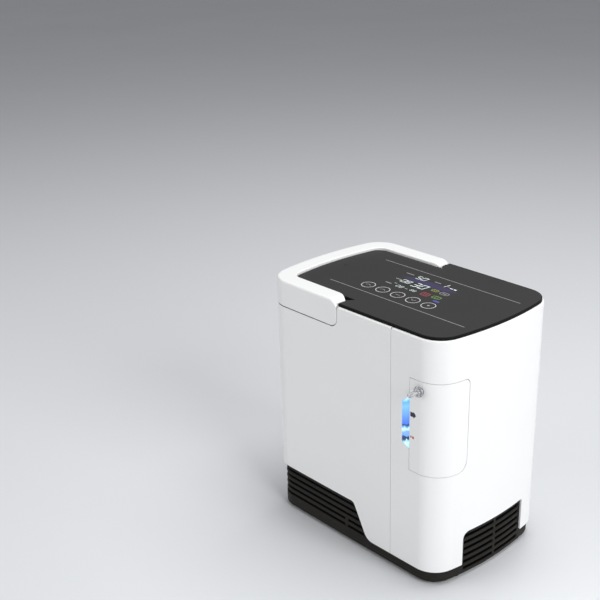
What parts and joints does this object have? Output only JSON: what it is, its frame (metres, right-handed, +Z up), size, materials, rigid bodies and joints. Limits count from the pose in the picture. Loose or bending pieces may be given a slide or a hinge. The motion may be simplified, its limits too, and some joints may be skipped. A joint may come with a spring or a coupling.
{
  "type": "oxygen concentrator",
  "caption": "Home oxygen concentrator: white case on a louvred black base, dark touch panel inside a folding carry handle, and a pull-out humidifier with a level window and outlet spigot.",
  "frame": {"origin": "middle of the whole object's footprint on the floor, with the outlet spigot counted in", "axes": "+Z up; the control side, with the outlet spigot, faces -Y; the humidifier is at +X and the closed end of the carry handle at -X"},
  "size_m": [0.289, 0.2082, 0.31],
  "materials": {
    "base_black": "fine textured black ABS",
    "bed_aluminium": "spun can",
    "bronze": "sintered bush",
    "case_white": "satin gloss white ABS",
    "cast_aluminium": "die cast",
    "circuit_green": "circuit board",
    "clear_plastic": "clear polycarbonate",
    "copper_winding": "varnished winding",
    "deck_grey": "dark grey ABS",
    "diffuser": "sintered bubbler",
    "fan_black": "fan plastic",
    "foam": "open cell foam",
    "foot_rubber": "soft black rubber",
    "hose": "silicone hose",
    "light_blue": "lit board",
    "panel_glass": "smoked acrylic",
    "seal_silicone": "silicone",
    "steel": "zinc plated",
    "tank_white": "blow moulded",
    "valve_black": "coil body",
    "window_clear": "clear window lit blue"
  },
  "bodies": {
    "chassis": {"base_tray": "base_black", "bay_light": "light_blue", "compressor_cradle": "steel", "compressor_housing": "cast_aluminium", "control_board": "circuit_green", "control_panel": "panel_glass", "cross_pipe": "bronze", "display_board": "circuit_green", "equipment_shelf": "steel", "exhaust_muffler": "tank_white", "fan_frame": "fan_black", "feed_hose": "hose", "filter_foam": "foam", "flow_regulator": "valve_black", "foot_screws": "steel", "front_sieve_bed": "bed_aluminium", "front_valve": "valve_black", "handle_pins": "steel", "humidifier_bay": "case_white", "intake_box": "deck_grey", "isolators": "foot_rubber", "left_cylinder": "cast_aluminium", "left_cylinder_head": "cast_aluminium", "left_front_foot": "foot_rubber", "left_rear_foot": "foot_rubber", "left_shell": "case_white", "level_window": "window_clear", "mains_inlet": "base_black", "motor_stator": "copper_winding", "outlet_hose": "hose", "oxygen_hose": "hose", "oxygen_tank": "tank_white", "pistons": "cast_aluminium", "power_board": "circuit_green", "rear_sieve_bed": "bed_aluminium", "rear_valve": "valve_black", "remote_receiver": "panel_glass", "right_cylinder": "cast_aluminium", "right_cylinder_head": "cast_aluminium", "right_front_foot": "foot_rubber", "right_rear_foot": "foot_rubber", "right_shell": "case_white", "switch_bezel": "base_black", "top_deck": "deck_grey", "valve_manifold": "tank_white"},
    "handle": {"handle": "case_white", "handle_underside": "case_white", "front_handle_bush": "bronze", "rear_handle_bush": "bronze"},
    "humidifier": {"humidifier_cover": "case_white", "humidifier_bottle": "clear_plastic", "lid_seal": "seal_silicone", "bottle_lid": "clear_plastic", "outlet_spigot": "clear_plastic", "diffuser_tube": "clear_plastic", "diffuser_stone": "diffuser"},
    "rotor": {"compressor_rotor": "steel"},
    "fan": {"fan_impeller": "fan_black"},
    "rocker": {"power_rocker": "fan_black"},
    "filter_door": {"filter_cover": "case_white"}
  },
  "joints": [
    {"name": "handle_fold", "type": "hinge", "parent": "chassis", "child": "handle", "pos_m": [-0.02992, 0.0079, 0.29708], "axis": [0, 1, 0], "range_deg": [0, 90]},
    {"name": "humidifier_pull", "type": "slide", "parent": "chassis", "child": "humidifier", "axis": [1, 0, 0], "range_m": [0, 0.06]},
    {"name": "rotor_spin", "type": "hinge", "parent": "chassis", "child": "rotor", "pos_m": [0, 0.0079, 0.068], "axis": [1, 0, 0], "continuous": true},
    {"name": "fan_spin", "type": "hinge", "parent": "chassis", "child": "fan", "pos_m": [0.11, 0.0079, 0.06], "axis": [1, 0, 0], "continuous": true},
    {"name": "rocker_tilt", "type": "hinge", "parent": "chassis", "child": "rocker", "pos_m": [0.1, 0.0981, 0.092], "axis": [-1, 0, 0], "range_deg": [0, 16]},
    {"name": "filter_pull", "type": "slide", "parent": "chassis", "child": "filter_door", "axis": [0, 1, 0], "range_m": [0, 0.03]}
  ]
}
